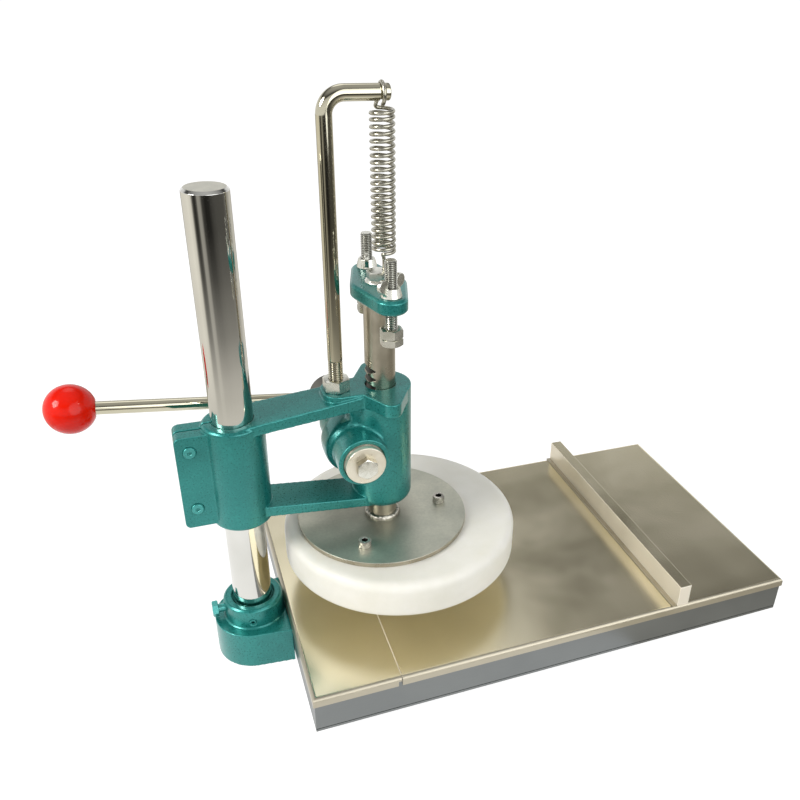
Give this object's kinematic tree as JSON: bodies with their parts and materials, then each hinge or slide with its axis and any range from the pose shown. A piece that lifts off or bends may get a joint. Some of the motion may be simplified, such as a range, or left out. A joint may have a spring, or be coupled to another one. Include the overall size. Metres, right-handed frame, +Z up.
{
  "type": "pizza dough press",
  "caption": "Hand-lever bench press that flattens dough balls: a rack-driven ram with a round white disc over a low stainless table, on a round column with a clamped arm.",
  "frame": {"origin": "on the column axis at floor level, at the centre of the cast foot's lower face", "axes": "+X along the table, away from the column; +Y to the rear, the side of the lever; +Z up"},
  "size_m": [0.6595, 0.28, 0.5105],
  "materials": {
    "teal_paint": "hammered metallic paint on cast iron",
    "chrome": "polished chrome plate",
    "stainless": "satin stainless sheet",
    "grey_sheet": "plain grey steel sheet",
    "steel": "bare machined steel",
    "zinc": "bright zinc plate",
    "white_plastic": "turned white polyethylene",
    "red_plastic": "polished moulding",
    "board": "plain board",
    "rubber": "moulded"
  },
  "bodies": {
    "base": {"base_frame": "grey_sheet", "cross_rails": "grey_sheet", "core_board": "board", "bottom_plate": "grey_sheet", "rubber_feet": "rubber", "feet_screws": "zinc", "top_sheet_left": "stainless", "top_sheet_right": "stainless", "fence_bar": "stainless", "column_foot": "teal_paint", "foot_bolts": "zinc", "foot_clamp_bolt": "teal_paint", "foot_set_screw": "teal_paint"},
    "column": {"column": "chrome"},
    "arm": {"arm_casting": "teal_paint", "clamp_screws": "teal_paint", "spring_post": "chrome", "post_nut": "zinc", "return_spring": "zinc"},
    "lever": {"pinion_shaft": "steel", "pinion_washer": "zinc", "pinion_bolt": "zinc", "lever_rod": "chrome", "ball_knob": "red_plastic"},
    "ram": {"ram": "steel", "press_plate": "steel", "weld_bead": "zinc", "dough_disc": "white_plastic", "disc_screws": "steel", "cross_plate": "teal_paint", "cross_plate_bolt": "zinc"},
    "stop_front": {"stop_bolt_front": "zinc", "stop_nut_front": "zinc"},
    "stop_rear": {"stop_bolt_rear": "zinc", "stop_nut_rear": "zinc"},
    "wing_front": {"wing_nut_front": "zinc"},
    "wing_rear": {"wing_nut_rear": "zinc"}
  },
  "joints": [
    {"name": "column_swivel", "type": "hinge", "parent": "base", "child": "column", "pos_m": [0, 0, 0.0295], "axis": [0, 0, 1], "range_deg": [-90, 90]},
    {"name": "arm_height", "type": "slide", "parent": "column", "child": "arm", "axis": [0, 0, 1], "range_m": [0, 0.15]},
    {"name": "lever_turn", "type": "hinge", "parent": "arm", "child": "lever", "pos_m": [0.10225, 0, 0.208], "axis": [0, 1, 0], "range_deg": [-38, 126]},
    {"name": "ram_slide", "type": "slide", "parent": "arm", "child": "ram", "axis": [0, 0, -1], "range_m": [-0.0101, 0.0331], "stiffness_N_per_m": 2930, "springref_m": -0.0054, "deforming": ["return_spring"]},
    {"name": "stop_front_adjust", "type": "slide", "parent": "ram", "child": "stop_front", "axis": [0, 0, 1], "range_m": [-0.018, 0.011]},
    {"name": "stop_rear_adjust", "type": "slide", "parent": "ram", "child": "stop_rear", "axis": [0, 0, 1], "range_m": [-0.018, 0.011]},
    {"name": "wing_front_turn", "type": "hinge", "parent": "ram", "child": "wing_front", "pos_m": [0.128, -0.037, 0.356], "axis": [0, 0, 1], "continuous": true},
    {"name": "wing_rear_turn", "type": "hinge", "parent": "ram", "child": "wing_rear", "pos_m": [0.128, 0.037, 0.356], "axis": [0, 0, 1], "continuous": true}
  ],
  "couplings": [
    {"joint": "ram_slide", "follows": "lever_turn", "m_per_rad": 0.015}
  ]
}
